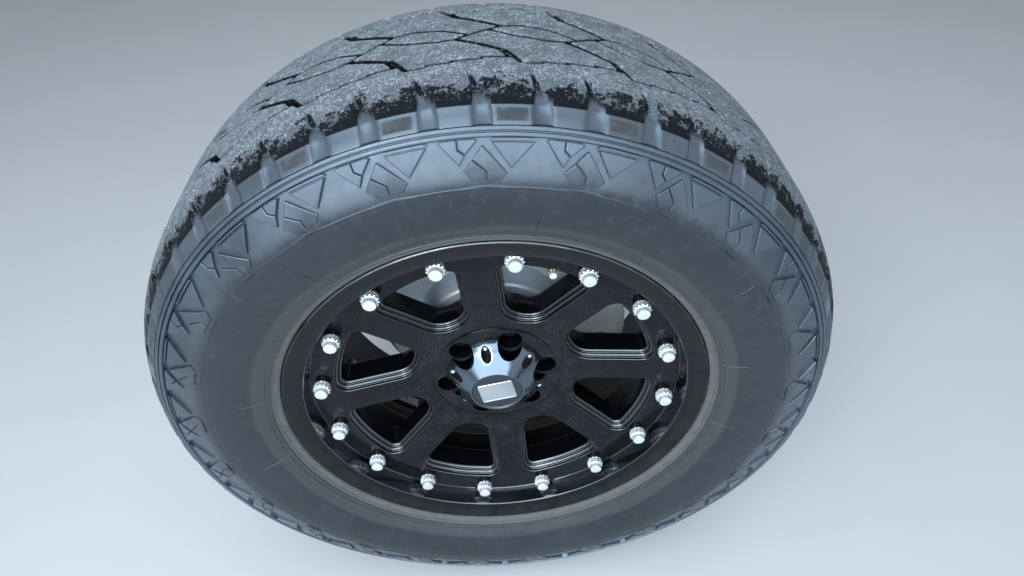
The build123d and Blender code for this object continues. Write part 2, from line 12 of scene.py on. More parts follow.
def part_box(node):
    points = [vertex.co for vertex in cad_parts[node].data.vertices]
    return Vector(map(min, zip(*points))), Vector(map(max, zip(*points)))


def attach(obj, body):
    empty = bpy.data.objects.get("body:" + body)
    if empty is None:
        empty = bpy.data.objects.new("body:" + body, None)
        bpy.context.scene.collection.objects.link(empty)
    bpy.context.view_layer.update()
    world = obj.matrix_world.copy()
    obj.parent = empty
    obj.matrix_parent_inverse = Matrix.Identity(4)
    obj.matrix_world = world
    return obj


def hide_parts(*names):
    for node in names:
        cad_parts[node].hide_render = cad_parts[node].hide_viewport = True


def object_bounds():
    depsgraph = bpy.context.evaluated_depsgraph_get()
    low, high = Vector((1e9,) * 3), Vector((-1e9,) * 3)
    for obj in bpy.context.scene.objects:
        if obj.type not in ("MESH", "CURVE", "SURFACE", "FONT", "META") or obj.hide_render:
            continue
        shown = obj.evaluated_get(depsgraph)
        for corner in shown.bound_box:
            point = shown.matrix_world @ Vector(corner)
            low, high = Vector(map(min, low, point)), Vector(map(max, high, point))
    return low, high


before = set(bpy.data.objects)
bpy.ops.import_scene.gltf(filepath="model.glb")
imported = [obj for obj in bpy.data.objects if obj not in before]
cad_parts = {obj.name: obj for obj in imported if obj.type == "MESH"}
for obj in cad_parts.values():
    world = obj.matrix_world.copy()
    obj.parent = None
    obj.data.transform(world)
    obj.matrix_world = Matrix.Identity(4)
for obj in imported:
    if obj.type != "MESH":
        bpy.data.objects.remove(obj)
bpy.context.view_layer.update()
random.seed(4)

# Lengths are in millimetres and become metres where points are made. "depth" is measured
# behind the rim's outer edge, and angles run from +X towards +Z about the axle, in degrees.
MM = 0.001
casting_low, casting_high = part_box("wheel_casting")
rim_front = casting_low.y / MM
rim_edge_r = casting_high.z / MM
rim_depth = (casting_high.y - casting_low.y) / MM
half_depth = rim_depth / 2
tyre_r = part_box("tyre")[1].z / MM

# Tyre. Half a turn about tread_centre, in the middle of the tread, leaves its pattern as it is.
pitches = 25
pitch = 360 / pitches
pitch_start = 88.8
tread_zero = 91.8
centre_shift = -3.08
tread_centre = tread_zero + centre_shift
lug_lead = 3
narrow_lug = 6.75
tread_depth = 12
crown_floor_r = tyre_r - tread_depth
crown_edge_gap = 0.3
bead_ring_r = 279
valley_depth = 4
valley_half_width = 4.2
ledge_height = 1.3
step_height = 0.7
step_radii = [358.2, 358.5, 358.9, 359.4, 359.8, 360.2]
mould_line_count = 16

# Wheel face
spokes = 8
spoke_angle = 93.2
spoke_width = 38
window_outer_r = 213
window_inner_r = 107
window_corner_r = 17
inner_corner_r = 32
face_round = 1.3
ledge_round = 3.4
ledge_step = 4.2
face_depth = 34.4
face_edge_r = 222
hub_depth = 54
hub_rim_r = 90
hub_recess_r = 86
hub_recess_depth = 2
recess_depth = hub_depth + hub_recess_depth
spoke_thickness = 42
hollow_outer_r = 198
hollow_inner_r = 118
hollow_width = 26
hollow_roof = 34
back_edge_r = 215
pad_start_r = 98
pad_flat_r = 91
pad_depth = 120.8
bore_r = 43.6
seat_r = 256.4
drop_r = 226
rim_sides = 240
grid_step = 6
window_angles = [spoke_angle + (k + 0.5) * 360 / spokes for k in range(-1, spokes - 1)]
valve_window_angle = window_angles[0]

# Bolts, lugs, cap and valve
bolts = 16
bolt_circle_r = 227.8
first_bolt_angle = 104.4
lugs = 6
lug_angle = 11
lug_circle_r = 67.5
lug_pocket_r = 14.6
lug_hole_r = 8
lug_seat = 106
nut_turn = 17
cap_base_r = 68
cap_notch_r = 17.5
cap_screw_circle_r = 56.5
cap_screw_floor = 50
plate_turn = 11
plate_depth = 24.75
valve_angle = 68.5
valve_circle_r = 207
valve_pocket_r = 9
valve_floor = 60

# Brake disc
disc_r = 160
disc_depth = 166.8
cheek = 7
vane_height = 8
vanes = 36


# ---- Making shapes ----

def turn(radius, angle, depth):
    """Points in the row frame from radius, angle and depth."""
    radius, angle, depth = np.broadcast_arrays(radius, angle, depth)
    turned = np.radians(angle)
    return np.stack([radius * np.cos(turned), depth + rim_front, radius * np.sin(turned)], -1) * MM


def flat(points, depth):
    """Points in the row frame from (x, z) points on the wheel's face and their depth."""
    x, z = np.asarray(points, float).T
    return np.stack([x, np.broadcast_to(depth, x.shape) + rim_front, z], -1) * MM


def turned_flat(points, angle):
    """(x, z) points on the wheel's face turned about the axle."""
    c, s = cos(radians(angle)), sin(radians(angle))
    return np.asarray(points) @ np.array([[c, s], [-s, c]])


def spun(points, angle):
    """Points in the row frame turned about the axle."""
    made = points.copy()
    made[..., ::2] = turned_flat(points[..., ::2], angle)
    return made


def spot(radius, angle):
    """Point on the wheel's face as (x, z)."""
    return radius * cos(radians(angle)), radius * sin(radians(angle))


def evenly(count, start=0):
    """Angles spread evenly round the axle."""
    return [start + k * 360 / count for k in range(count)]


def reach_of(points):
    """Distance of (x, z) points from the axle."""
    return np.hypot(*np.asarray(points).T)


def eased(t):
    """Share from 0 to 1 with a soft start and end."""
    return t * t * (3 - 2 * t)


def rounded(corners):
    """Outline through (a, b, radius) corners, each rounded to its radius."""
    made = []
    corners = np.array(corners, float)
    ahead = np.roll(corners, -1, axis=0)
    for k, (here, radius) in enumerate(zip(corners[:, :2], corners[:, 2])):
        if radius == 0:
            made.append(here)
            continue
        before, after = corners[k - 1, :2] - here, ahead[k, :2] - here
        lengths = np.linalg.norm([before, after], axis=1)
        before, after = before / lengths[0], after / lengths[1]
        half = acos(np.clip(before @ after, -1, 1)) / 2
        reach = min(radius / tan(half), *(0.48 * lengths))
        radius = reach * tan(half)
        middle = (before + after) / np.linalg.norm(before + after)
        centre = here + middle * radius / sin(half)
        start, end = here + before * reach - centre, here + after * reach - centre
        for t in np.linspace(0, 1, 5):
            way = start * (1 - t) + end * t
            made.append(centre + way * radius / np.linalg.norm(way))
    return np.array(made)


def through(knots, count):
    """Smooth line through the knots, as evenly spaced points."""
    knots = np.array(knots)
    ends = np.vstack([2 * knots[0] - knots[1], knots, 2 * knots[-1] - knots[-2]])
    t = np.linspace(0, 1, 24, endpoint=False)[:, None]
    line = [0.5 * (2 * p1 + (p2 - p0) * t + (2 * p0 - 5 * p1 + 4 * p2 - p3) * t ** 2
                   + (3 * p1 - p0 - 3 * p2 + p3) * t ** 3)
            for p0, p1, p2, p3 in zip(ends, ends[1:], ends[2:], ends[3:])]
    line = np.vstack([*line, knots[-1]])
    run = np.concatenate([[0], np.cumsum(np.linalg.norm(np.diff(line, axis=0), axis=1))])
    at = np.linspace(0, run[-1], count)
    return np.stack([np.interp(at, run, values) for values in line.T], -1)


def placed(name, data):
    """A new object in the scene."""
    made = bpy.data.objects.new(name, data)
    bpy.context.scene.collection.objects.link(made)
    return made


class Shape:
    """Points and faces gathered for one object."""

    def __init__(self):
        self.points, self.faces, self.count = [], [], 0

    def add(self, points, faces):
        points = np.reshape(points, (-1, 3))
        self.faces += (np.array(faces) + self.count).tolist()
        self.points.append(points)
        self.count += len(points)

    def grid(self, points, round_columns=True, round_rows=False):
        """Faces over rows and columns of points, closed round where asked."""
        at = np.arange(points.shape[0] * points.shape[1]).reshape(points.shape[:2])
        if round_rows:
            at = np.vstack([at, at[:1]])
        if round_columns:
            at = np.hstack([at, at[:, :1]])
        corners = [at[:-1, :-1], at[:-1, 1:], at[1:, 1:], at[1:, :-1]]
        self.add(points, np.stack(corners, -1).reshape(-1, 4))

    def lathe(self, outline, sides=rim_sides, closed=False):
        """Outline of (radius, depth) points turned about the axle."""
        outline = np.asarray(outline, float)
        angle = np.linspace(0, 360, sides, endpoint=False)[None]
        self.grid(turn(outline[:, :1], angle, outline[:, 1:]), round_rows=closed)

    def fill(self, depth, outer, holes, lattice):
        """Triangles between an outline and holes, at a depth that may follow the radius."""
        points, faces = filled(outer, holes, lattice)
        self.add(flat(points, depth(reach_of(points)) if callable(depth) else depth), faces)

    def make(self, name, material, *nodes, slot, sharp=35, body="wheel"):
        """The object, riding on a CAD body and standing for CAD nodes."""
        data = bpy.data.meshes.new(name)
        data.from_pydata(np.vstack(self.points).tolist(), [], self.faces)
        work = bmesh.new()
        work.from_mesh(data)
        bmesh.ops.remove_doubles(work, verts=work.verts, dist=1e-6)
        bmesh.ops.recalc_face_normals(work, faces=work.faces)
        work.to_mesh(data)
        work.free()
        data.shade_smooth()
        data.set_sharp_from_angle(angle=radians(sharp))
        data.materials.append(material)
        made = placed(name, data)
        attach(made, body)
        if nodes:
            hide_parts(*nodes)


def inside(points, loop):
    """Which points lie inside a closed outline."""
    x, y = points[:, :1], points[:, 1:]
    a, b = loop, np.roll(loop, -1, axis=0)
    crosses = (a[:, 1] > y) != (b[:, 1] > y)
    with np.errstate(divide="ignore", invalid="ignore"):
        at = (b[:, 0] - a[:, 0]) * (y - a[:, 1]) / (b[:, 1] - a[:, 1]) + a[:, 0]
    return (crosses & (x < at)).sum(1) % 2 == 1


def edge_distance(points, loop):
    """Distance from each point to a closed outline."""
    a, b = loop, np.roll(loop, -1, axis=0)
    along = b - a
    t = ((points[:, None] - a) * along).sum(-1) / np.maximum((along ** 2).sum(-1), 1e-12)
    nearest = a + np.clip(t, 0, 1)[..., None] * along
    return np.linalg.norm(points[:, None] - nearest, axis=-1).min(1)


def filled(outer, holes, lattice):
    """Triangles between an outer outline and holes, using lattice points where they fit."""
    loops = [np.asarray(loop, float) for loop in (outer, *holes)]

    def between(points):
        within = [inside(points, loop) for loop in loops]
        return within[0] & (np.sum(within, axis=0) == 1)

    spacing = 2
    lattice = np.asarray(lattice, float).reshape(-1, 2)
    clear = np.min([edge_distance(lattice, loop) for loop in loops], axis=0) > spacing
    edges, first = [], 0
    for loop in loops:
        edges += [(first + k, first + (k + 1) % len(loop)) for k in range(len(loop))]
        first += len(loop)
    points = np.vstack([*loops, lattice[between(lattice) & clear]])
    made = delaunay_2d_cdt([Vector(p) for p in points], edges, [], 0, 1e-5)
    points, faces = np.array([list(p) for p in made[0]]), np.array(made[2])
    return points, faces[between(points[faces].mean(1))]


# ---- Finishes ----

class Nodes:
    """Shader nodes of a material or world. Each input is a value or another node's output."""

    def __init__(self, owner):
        owner.use_nodes = True
        self.owner, self.tree = owner, owner.node_tree
        self.coordinates = self.node("TexCoord").outputs
        self.times, self.plus, self.minus, self.most = [
            partial(self.maths, operation)
            for operation in ("MULTIPLY", "ADD", "SUBTRACT", "MAXIMUM")
        ]

    def set(self, made, inputs):
        for key, value in dict(inputs).items():
            if isinstance(value, bpy.types.NodeSocket):
                self.tree.links.new(value, made.inputs[key])
            else:
                made.inputs[key].default_value = value

    def node(self, kind, inputs=(), **settings):
        made = self.tree.nodes.new("ShaderNode" + kind)
        for key, value in settings.items():
            setattr(made, key, value)
        self.set(made, inputs)
        return made

    def maths(self, operation, first, *others):
        """The values taken together one by one."""
        for other in others or [0]:
            first = self.node("Math", {0: first, 1: other}, operation=operation).outputs[0]
        return first

    def vector(self, operation, a, b=(0, 0, 0)):
        return self.node("VectorMath", {0: a, 1: b}, operation=operation).outputs[0]

    def axes(self, kind):
        return self.node("SeparateXYZ", {0: self.coordinates[kind]}).outputs

    def polar(self):
        """Distance from the axle, and x, y and z."""
        x, y, z = self.axes("Object")
        return self.maths("SQRT", self.plus(self.times(x, x), self.times(z, z))), x, y, z

    def noise(self, scale, detail=6, roughness=0.6, place=None):
        place = self.coordinates["Object"] if place is None else place
        return self.node("TexNoise", {"Vector": place, "Scale": scale, "Detail": detail,
                                      "Roughness": roughness}).outputs["Fac"]

    def ramp(self, value, low, high, to_low=0, to_high=1):
        """Value spread smoothly from one range over another."""
        return self.node("MapRange", {0: value, 1: low, 2: high, 3: to_low, 4: to_high},
                         interpolation_type="SMOOTHSTEP").outputs[0]

    def blend(self, share, *colours):
        """The first colour where share is 0 and the second where it is 1."""
        a, b = [c if isinstance(c, bpy.types.NodeSocket) else (*c, 1) for c in colours]
        return self.node("Mix", {0: share, 6: a, 7: b}, data_type="RGBA").outputs[2]

    def between(self, share, a, b):
        return self.node("Mix", {0: share, 2: a, 3: b}).outputs[0]

    def bump(self, height, strength, distance):
        return self.node("Bump", {"Height": height, "Strength": strength,
                                  "Distance": distance}).outputs[0]

    def seen_directly(self):
        """1 where the camera sees a surface itself, or in metal or glass."""
        paths = self.node("LightPath").outputs
        return self.most(*[paths[f"Is {ray} Ray"] for ray in ("Camera", "Glossy", "Transmission")])

    def finished(self, inputs):
        """The material, with its shader's inputs set or linked."""
        self.set(self.tree.nodes["Principled BSDF"], inputs)
        return self.owner


def finish(name):
    return Nodes(bpy.data.materials.new(name))


def worn(name, colour, dirt, metallic=0, rough=0.4, dirt_share=0.4, grain=900, bump=0.15):
    """Paint or metal with cloudy wear, fine grain and dirt."""
    made = finish(name)
    cloud = made.noise(18)
    share = made.times(made.ramp(cloud, 0.42, 0.72), dirt_share)
    return made.finished({
        "Base Color": made.blend(share, colour, dirt),
        "Metallic": metallic,
        "Roughness": made.ramp(cloud, 0.3, 0.8, rough * 0.8, min(1, rough * 1.4)),
        "Normal": made.bump(made.noise(grain, 3), bump, 0.0004),
    })


# Where the finishes fade, in metres: a share is 0 at the first value and 1 at the second.
# These are radii, unless the name says depth or under.
hub_dust, rim_film, lip_front, outside_hub = (0.2, 0.1), (0.25, 0.262), (0.238, 0.242), (0.094, 0.1)
barrel_depth, front_depth = (0.08, 0.11), (0.06, 0.045)
cap_disc = (0.0345, 0.0338)
bead_film, bead_band, wall_film_and_sheen = (0.309, 0.303), (0.2865, 0.281), (0.362, 0.375)
cake_low, cake_high = (0.4166, 0.4182), (0.4256, 0.4242)
scoop_top, chamfer_low, white_grains = (0.4315, 0.4265), (0.4262, 0.4272), (0.4275, 0.434)
wall_sheen, wall_coat = (0.35, 0.37), (0.375, 0.405)
tread_side, under_crown = (0.102, 0.092), (0.0028, 0.0014)


def paint():
    """Glossy black wheel paint with a fine speckle of dried dust, brown towards the rim's edge."""
    made = finish("black_paint")
    times, ramp = made.times, made.ramp
    radius, _, y, _ = made.polar()
    depth = made.minus(y, rim_front * MM)
    cloud = made.noise(16)
    fine = made.noise(850, 4, 0.7)
    patches = made.noise(38, 5, 0.65)
    speckle = times(ramp(fine, 0.54, 0.62), ramp(patches, 0.42, 0.62, 0.15, 1))
    facing = made.axes("Normal")[1]
    share = times(speckle, ramp(radius, *hub_dust, 0.35, 1), ramp(facing, -0.9, -0.985))
    film = times(ramp(radius, *rim_film), ramp(patches, 0.35, 0.65, 0.2, 0.9))
    film = made.most(film, times(ramp(depth, *barrel_depth), 0.3))
    colour = made.blend(share, (0.0025, 0.0028, 0.0035), (0.08, 0.076, 0.073))
    dull = made.most(share, times(film, 0.8))
    # Edges and the lip shine, but walls deep in the windows stay dull
    in_front = times(ramp(radius, *lip_front), ramp(depth, *front_depth))
    kept_bright = made.most(ramp(facing, -0.08, -0.35), in_front)
    shining = times(ramp(facing, -0.96, -0.8), kept_bright, ramp(radius, *outside_hub))
    return made.finished({
        "Base Color": made.blend(film, colour, (0.013, 0.012, 0.011)),
        "Roughness": ramp(made.plus(dull, times(cloud, 0.25)), 0, 1, 0.12, 0.7),
        "Specular IOR Level": times(ramp(shining, 0, 1, 0.24, 1),
                                    ramp(kept_bright, 0, 1, 0.3, 1)),
        "Specular Tint": (0.84, 0.93, 1, 1),
        "Coat Weight": shining,
        "Coat Roughness": 0.08,
        "Normal": made.bump(fine, 0.12, 0.0004),
    })


def smoked_cap():
    """Smoked chrome, with a darker brushed disc inside the cap's front rim."""
    made = finish("smoked_chrome")
    cloud = made.noise(40)
    disc = made.ramp(made.polar()[0], *cap_disc)
    colour = made.blend(cloud, (0.115, 0.145, 0.185), (0.165, 0.2, 0.245))
    return made.finished({
        "Base Color": made.blend(disc, colour, (0.075, 0.085, 0.095)),
        "Metallic": 1,
        "Roughness": made.plus(made.ramp(cloud, 0.3, 0.7, 0.13, 0.2), made.times(disc, 0.28)),
        "Normal": made.bump(made.noise(1200, 3), 0.04, 0.0003),
    })


def rubber():
    """Tyre rubber: sheen on the black sidewall, wet shoulder, dusty speckled tread."""
    made = finish("rubber")
    times, plus, minus, most = made.times, made.plus, made.minus, made.most
    ramp, noise, blend = made.ramp, made.noise, made.blend
    radius, x, y, z = made.polar()
    aside = made.maths("ABSOLUTE", minus(y, (rim_front + half_depth) * MM))
    cloud = noise(14)
    broken = noise(60, 8, 0.75)
    fine = noise(700, 4)
    speck = noise(330, 8, 0.85)
    # White grains cluster where a coarser noise is high
    cluster = noise(75, 4, 0.7)
    grains = times(ramp(speck, 0.56, 0.62), ramp(cluster, 0.46, 0.58, 0.2, 1))
    # Dust lies on the tread's tops, with a ragged border on the shoulder. The crown drops by
    # about 130 times the fourth power of the way from the middle, in metres.
    ragged = plus(aside, times(minus(broken, 0.5), 0.13))
    drop = times(made.maths("POWER", aside, 4), 130)
    under = minus(tyre_r * MM, plus(drop, radius))
    dusty = times(ramp(ragged, *tread_side), ramp(under, *under_crown),
                  ramp(cloud, 0.15, 0.6, 0.8, 1))
    grey = blend(ramp(speck, 0.42, 0.6), (0.05, 0.056, 0.064), (0.33, 0.36, 0.39))
    grey = blend(ramp(broken, 0.36, 0.6), (0.07, 0.077, 0.086), grey)
    # Faint streaks run out along the wall
    outwards = made.vector("NORMALIZE", made.node("CombineXYZ", {0: x, 2: z}).outputs[0])
    along = made.node("CombineXYZ", {1: times(radius, 1.6)}).outputs[0]
    streaks = noise(42, 8, 0.7, place=made.vector("ADD", outwards, along))
    side = blend(cloud, (0.008, 0.009, 0.0105), (0.019, 0.0215, 0.0255))
    side = blend(ramp(streaks, 0.5, 0.72, 0, 0.5), side, (0.045, 0.05, 0.056))
    # Bead wiped with pale dust, fading up the wall. The bluish grey on the upper wall is partly a
    # dust film and partly a painted sheen of sky light.
    uneven = plus(radius, times(minus(cloud, 0.5), 0.012))
    side = blend(times(ramp(uneven, *bead_film), 0.55), side, (0.06, 0.056, 0.052))
    band = times(ramp(radius, *bead_band), ramp(broken, 0.3, 0.6, 0.4, 0.9))
    side = blend(band, side, (0.13, 0.122, 0.11))
    upper = times(ramp(radius, *wall_film_and_sheen), ramp(cloud, 0.3, 0.7, 0.3, 0.9))
    side = blend(upper, side, (0.05, 0.058, 0.068))
    # Every second shoulder lug keeps a brown cake of dust on its flat
    turned = made.maths("DIVIDE", made.maths("ARCTAN2", z, x), radians(pitch))
    turned = made.maths("FRACT", plus(turned, pitches - tread_zero / pitch))
    low, high = (narrow_lug - lug_lead + 1.7) / pitch, (pitch - lug_lead - 1.6) / pitch
    cake = times(ramp(turned, low, low + 0.03), ramp(turned, high, high - 0.03),
                 ramp(radius, *cake_low), ramp(radius, *cake_high), ramp(y, -0.18, -0.2),
                 ramp(broken, 0.3, 0.55, 0.5, 1))
    # The chamfer over the lugs is black, but the scoops between them stay lit for some way up it
    scoops = (1 - lug_lead / pitch, (narrow_lug - lug_lead) / pitch)
    from_scoop = made.maths("MINIMUM", *[made.maths("ABSOLUTE", minus(turned, scoop))
                                         for scoop in scoops])
    in_scoop = times(ramp(from_scoop, 0.088, 0.07), ramp(radius, *scoop_top))
    on_chamfer = times(ramp(radius, *chamfer_low), minus(1, in_scoop))
    side = blend(on_chamfer, side, (0.009, 0.0105, 0.013))
    side = blend(cake, side, (0.03, 0.029, 0.028))
    white = times(grains, ramp(radius, *white_grains))
    bare_chamfer = times(on_chamfer, ramp(dusty, 0.6, 0.2))
    bare = minus(1, most(on_chamfer, dusty, cake))
    smooth = ramp(plus(cloud, streaks), 0.8, 1.2, 0.28, 0.46)
    height = plus(plus(times(fine, 0.25), times(speck, dusty, 1.8)), times(white, 0.8))
    return made.finished({
        "Base Color": blend(white, blend(dusty, side, grey), (0.6, 0.62, 0.64)),
        "Specular IOR Level": made.between(bare_chamfer, ramp(radius, *wall_sheen, 0.68, 1), 0.02),
        "Specular Tint": (0.74, 0.88, 1, 1),
        "Coat Weight": times(ramp(radius, *wall_coat, 0, 0.5), bare),
        "Coat Roughness": 0.3,
        "Coat Tint": (0.7, 0.86, 1, 1),
        "Roughness": made.between(most(dusty, white, cake, band), smooth, 0.95),
        "Normal": made.bump(height, 0.4, 0.0012),
    })


tyre_rubber = rubber()
black_paint = paint()
chrome = smoked_cap()
zinc = worn("zinc", (0.84, 0.87, 0.88), (0.42, 0.41, 0.39), 0.55, 0.3, 0.3)
bright_screw = worn("bright_screw", (0.8, 0.82, 0.84), (0.4, 0.38, 0.35), 0.9, 0.22)
plate_metal = worn("plate_metal", (0.62, 0.65, 0.68), (0.35, 0.35, 0.35), 0.95, 0.24, grain=300)
iron = worn("disc_iron", (0.66, 0.72, 0.77), (0.3, 0.28, 0.26), 0.3, 0.4, 0.35)
cast = worn("cast_iron", (0.07, 0.068, 0.066), (0.12, 0.09, 0.07), 0.3, 0.65, bump=0.5)
shield_zinc = worn("shield_steel", (0.085, 0.098, 0.11), (0.045, 0.04, 0.035), 0.5, 0.5, 0.8)
caliper_zinc = worn("caliper_zinc", (0.5, 0.51, 0.5), (0.25, 0.21, 0.17), 0.6, 0.5, bump=0.5)
brass_metal = worn("brass", (0.62, 0.44, 0.2), (0.25, 0.18, 0.1), 1, 0.32)
steel = worn("steel", (0.3, 0.3, 0.31), (0.16, 0.12, 0.09), 0.85, 0.42)
dark_steel = worn("dark_steel", (0.1, 0.105, 0.11), (0.04, 0.038, 0.035), 0.9, 0.25)
nut_black = worn("nut_black", (0.008, 0.008, 0.009), (0.02, 0.018, 0.016), rough=0.32)
lining = worn("lining", (0.045, 0.042, 0.04), (0.09, 0.08, 0.07), rough=0.9, bump=0.6)


# ---- Tyre ----

wall_knots = [(bead_ring_r, -2.5), (288.5, -8), (303, -15.5), (322, -22), (340, -26),
              (355, -26.5), (378, -22.6), (395, -16.3), (405, -11.6), (414.5, -6.6)]
wall_line = through(wall_knots, 160).T


def wall(radius, level):
    """Radius and depth of a point that stands "level" above the sidewall at a radius."""
    depth = np.interp(radius, *wall_line)
    slope = np.interp(radius + 1, *wall_line) - depth
    length = np.hypot(1, slope)
    return radius + level * slope / length, depth - level / length


def turn_tyre(radius, angle, depth, flipped):
    """Points in the row frame, on the tyre's inner side where flipped."""
    if flipped:
        angle, depth = 2 * tread_centre - angle, rim_depth - depth
    return turn(radius, angle, depth)


def body_of_tyre():
    """Carcass from bead to bead, with scooped valleys between the sidewall blocks."""
    per_pitch = 24
    angle = pitch_start + np.arange(pitches * per_pitch) * pitch / per_pitch

    def row(radius, depth):
        return np.stack(np.broadcast_arrays(radius, depth, angle))

    bead = rounded([(257, 34, 0), (257, 14.5, 2.5), (274.6, 13, 3), (275, 1, 3),
                    (bead_ring_r, -2.5, 0)])[:-1]
    rows = [row(*point) for point in bead]
    # Levels of the fine rings above the bead
    bead_lines = np.array([
        (bead_ring_r, 0), (280.2, 0), (280.6, -0.8), (281.4, -0.8), (281.8, 0), (285.8, 0.1),
        (286.2, 0.9), (287.4, 0.9), (287.8, 0.1), (289.8, 0), (290.2, -0.5), (290.8, -0.5),
        (291.2, 0),
    ])
    # The valleys are deepest under the ridges, and end in a short step below each pentagon
    off = (angle - (pitch_start - 0.1) + pitch / 2) % pitch - pitch / 2
    near = eased(np.clip(1 - np.abs(off) / valley_half_width, 0, 1))
    ledge = ledge_height * near
    for radius in np.concatenate([
        bead_lines[:, 0], np.linspace(294, 356, 16), step_radii, [360.6, 361, 362.5, 364.5],
        np.linspace(367, 404.2, 15),
    ]):
        foot, run = np.clip((radius - 359.4) / 1.6, 0, 1), np.clip((radius - 358.6) / 34, 0, 1)
        level = -ledge * eased(foot) - (valley_depth - ledge) * eased(run)
        level = level + np.interp(radius, *bead_lines.T)
        step = np.interp(radius, step_radii, [0, 0.5, 1, 1, 0.5, 0])
        rows.append(row(*wall(radius, level + step_height * step * (0.55 + 0.45 * near))))
    # Two ridges ring the wall above the blocks
    ridge = [(-1.2, 0), (0.8, 0.04), (1.5, 0.12), (1.75, 0.26), (1.85, 0.7), (1.5, 0.86),
             (0.7, 0.95), (-1.2, 1)]
    for start, width in ((404.6, 4.3), (409.6, 4.4)):
        rows += [row(*wall(start + width * share, level)) for level, share in ridge]
    floor = rounded([(414.2, -5, 0), (416, 4, 6), (426, 34, 20), (crown_floor_r, 60, 30),
                     (crown_floor_r, half_depth, 0)])[1:]
    rows = np.array(rows + [row(*point) for point in floor])
    far = rows[::-1].copy()
    far[:, 1] = rim_depth - far[:, 1]
    liner = [(262, 36), (272, 33), (300, 2), (330, -11), (355, -14), (385, -8), (405, 6),
             (418, 28), (420, 60)]
    inner = [row(radius, rim_depth - depth) for radius, depth in liner]
    inner += [row(*point) for point in liner[::-1]]
    rows = np.concatenate([rows, far[1:], inner])
    body = Shape()
    body.grid(turn(rows[:, 0], rows[:, 2], rows[:, 1]), round_rows=True)
    body.make("tyre_body", tyre_rubber, "tyre", slot="tyre")


# Points of the tread's pattern are (angle after tread_zero, depth)
groove_foot = (-8.03, 60)
groove_bend = (-6, 85)
groove_top = (0, 113)
groove_lean = 1.4
rib_gap = 1.8


def step_line(angle):
    """Depth of the stepped groove behind the outer rib, at an angle within a pitch."""
    angle = (angle - groove_foot[0]) % pitch + groove_foot[0]
    corners = [groove_foot, (-7.1, 70.5), (-3.56, 70.2), (-3.44, 67), (0.14, 66.6), (0.26, 63.8),
               (3.34, 63.4), (3.46, 60.6), (groove_foot[0] + pitch, 60)]
    return np.interp(angle, *np.array(corners).T)


def crown(depth):
    """Radius of the tread's tops at a depth."""
    near = np.minimum(depth, rim_depth - depth)
    return np.interp(near, [31, 40, 50, 60, 80, half_depth],
                     [437.2, 440, 442.2, 443.8, 445.3, tyre_r - crown_edge_gap])


def outer_rib(shape, flipped):
    """Shoulder lugs with the grooves between them, and the rib that joins them."""
    # depth, radius, groove's half width and shift in degrees, and how deep it is
    rows = np.array([
        (-6.6, 413.6, 1.3, 0, 0.6), (-8.2, 415, 1.3, 0, 1.6),
        (-7.6, 415.9, 1.3, 0, 2.2), (0.5, 421.4, 1.28, 0, 3.2),
        (7.8, 426.4, 1.2, 0.05, 3.3), (8.6, 427.1, 1.18, 0.06, 3.2),
        (13, 429.3, 1.08, 0.16, 3.2), (20, 432.6, 0.88, 0.34, 4.2),
        (29.5, 437, 0.6, 0.66, 5.6), (32, 437.8, 0.55, 0.74, 5.8),
        (38, 439.6, 0.44, 0.96, 5.4), (44, 441, 0.34, 1.18, 4),
        (49, 442, 0.22, 1.36, 1.5), (53, 442.7, 0.1, groove_lean, 0),
    ])
    tangent = np.gradient(rows[:, :2], axis=0)
    normal = np.stack([-tangent[:, 1], tangent[:, 0]], -1)
    normal /= np.linalg.norm(normal, axis=1)[:, None]
    # Half a groove: shift in degrees, share of its half width and depth, and the edge's cut
    groove = [(0, 0, 1, 0), (0, 0.45, 0.95, 0), (0, 0.8, 0.7, 0), (0, 0.95, 0.12, 0.5),
              (0.12, 1, 0, 0)]
    # Lugs: where one starts, how wide it is, and the shares of it at which points lie
    columns = []
    for start, span, shares in (
        (-lug_lead, narrow_lug, [0.13, 0.256, 0.277, 0.5, 0.73, 0.751, 0.875]),
        (narrow_lug - lug_lead, pitch - narrow_lug,
         [0.08, 0.159, 0.281, 0.4, 0.5, 0.62, 0.742, 0.761, 0.88]),
    ):
        columns += [(start, span, 0, share, side, *low) for side, share, *low in groove]
        columns += [(start, span, share, 1 - 2 * share, 0, 0, 0) for share in shares]
        columns += [(start, span, 1, -share, -side, *low) for side, share, *low in groove[:0:-1]]
    start, span, along, share, side, drop, cut = np.array(columns).T[:, None]
    depth, radius, half, shift, deep = rows.T[..., None]
    angle = start + shift + along * span + share * half + side
    level = -deep * drop - cut * np.minimum(deep, 1)
    depth = depth + level * normal[:, :1]
    radius = radius + level * normal[:, 1:]
    # Rows behind the grooves run up to the stepped groove and down its wall
    last = angle[-1:]
    edge = step_line(last) - rib_gap
    for before, down in ((5, 0), (1.3, 0), (0.4, 0.35), (0, 1.2), (-0.3, 11)):
        angle = np.vstack([angle, last])
        depth = np.vstack([depth, edge - before])
        radius = np.vstack([radius, crown(edge - before) - down])
    turns = np.arange(pitches)[None, :, None] * pitch
    angle = tread_zero + (angle[:, None] + turns).reshape(len(angle), -1)
    depth, radius = np.tile(depth, pitches), np.tile(radius, pitches)
    shape.grid(turn_tyre(radius, angle, depth, flipped))


def cross(a, b):
    return a[:, 0] * b[:, 1] - a[:, 1] * b[:, 0]


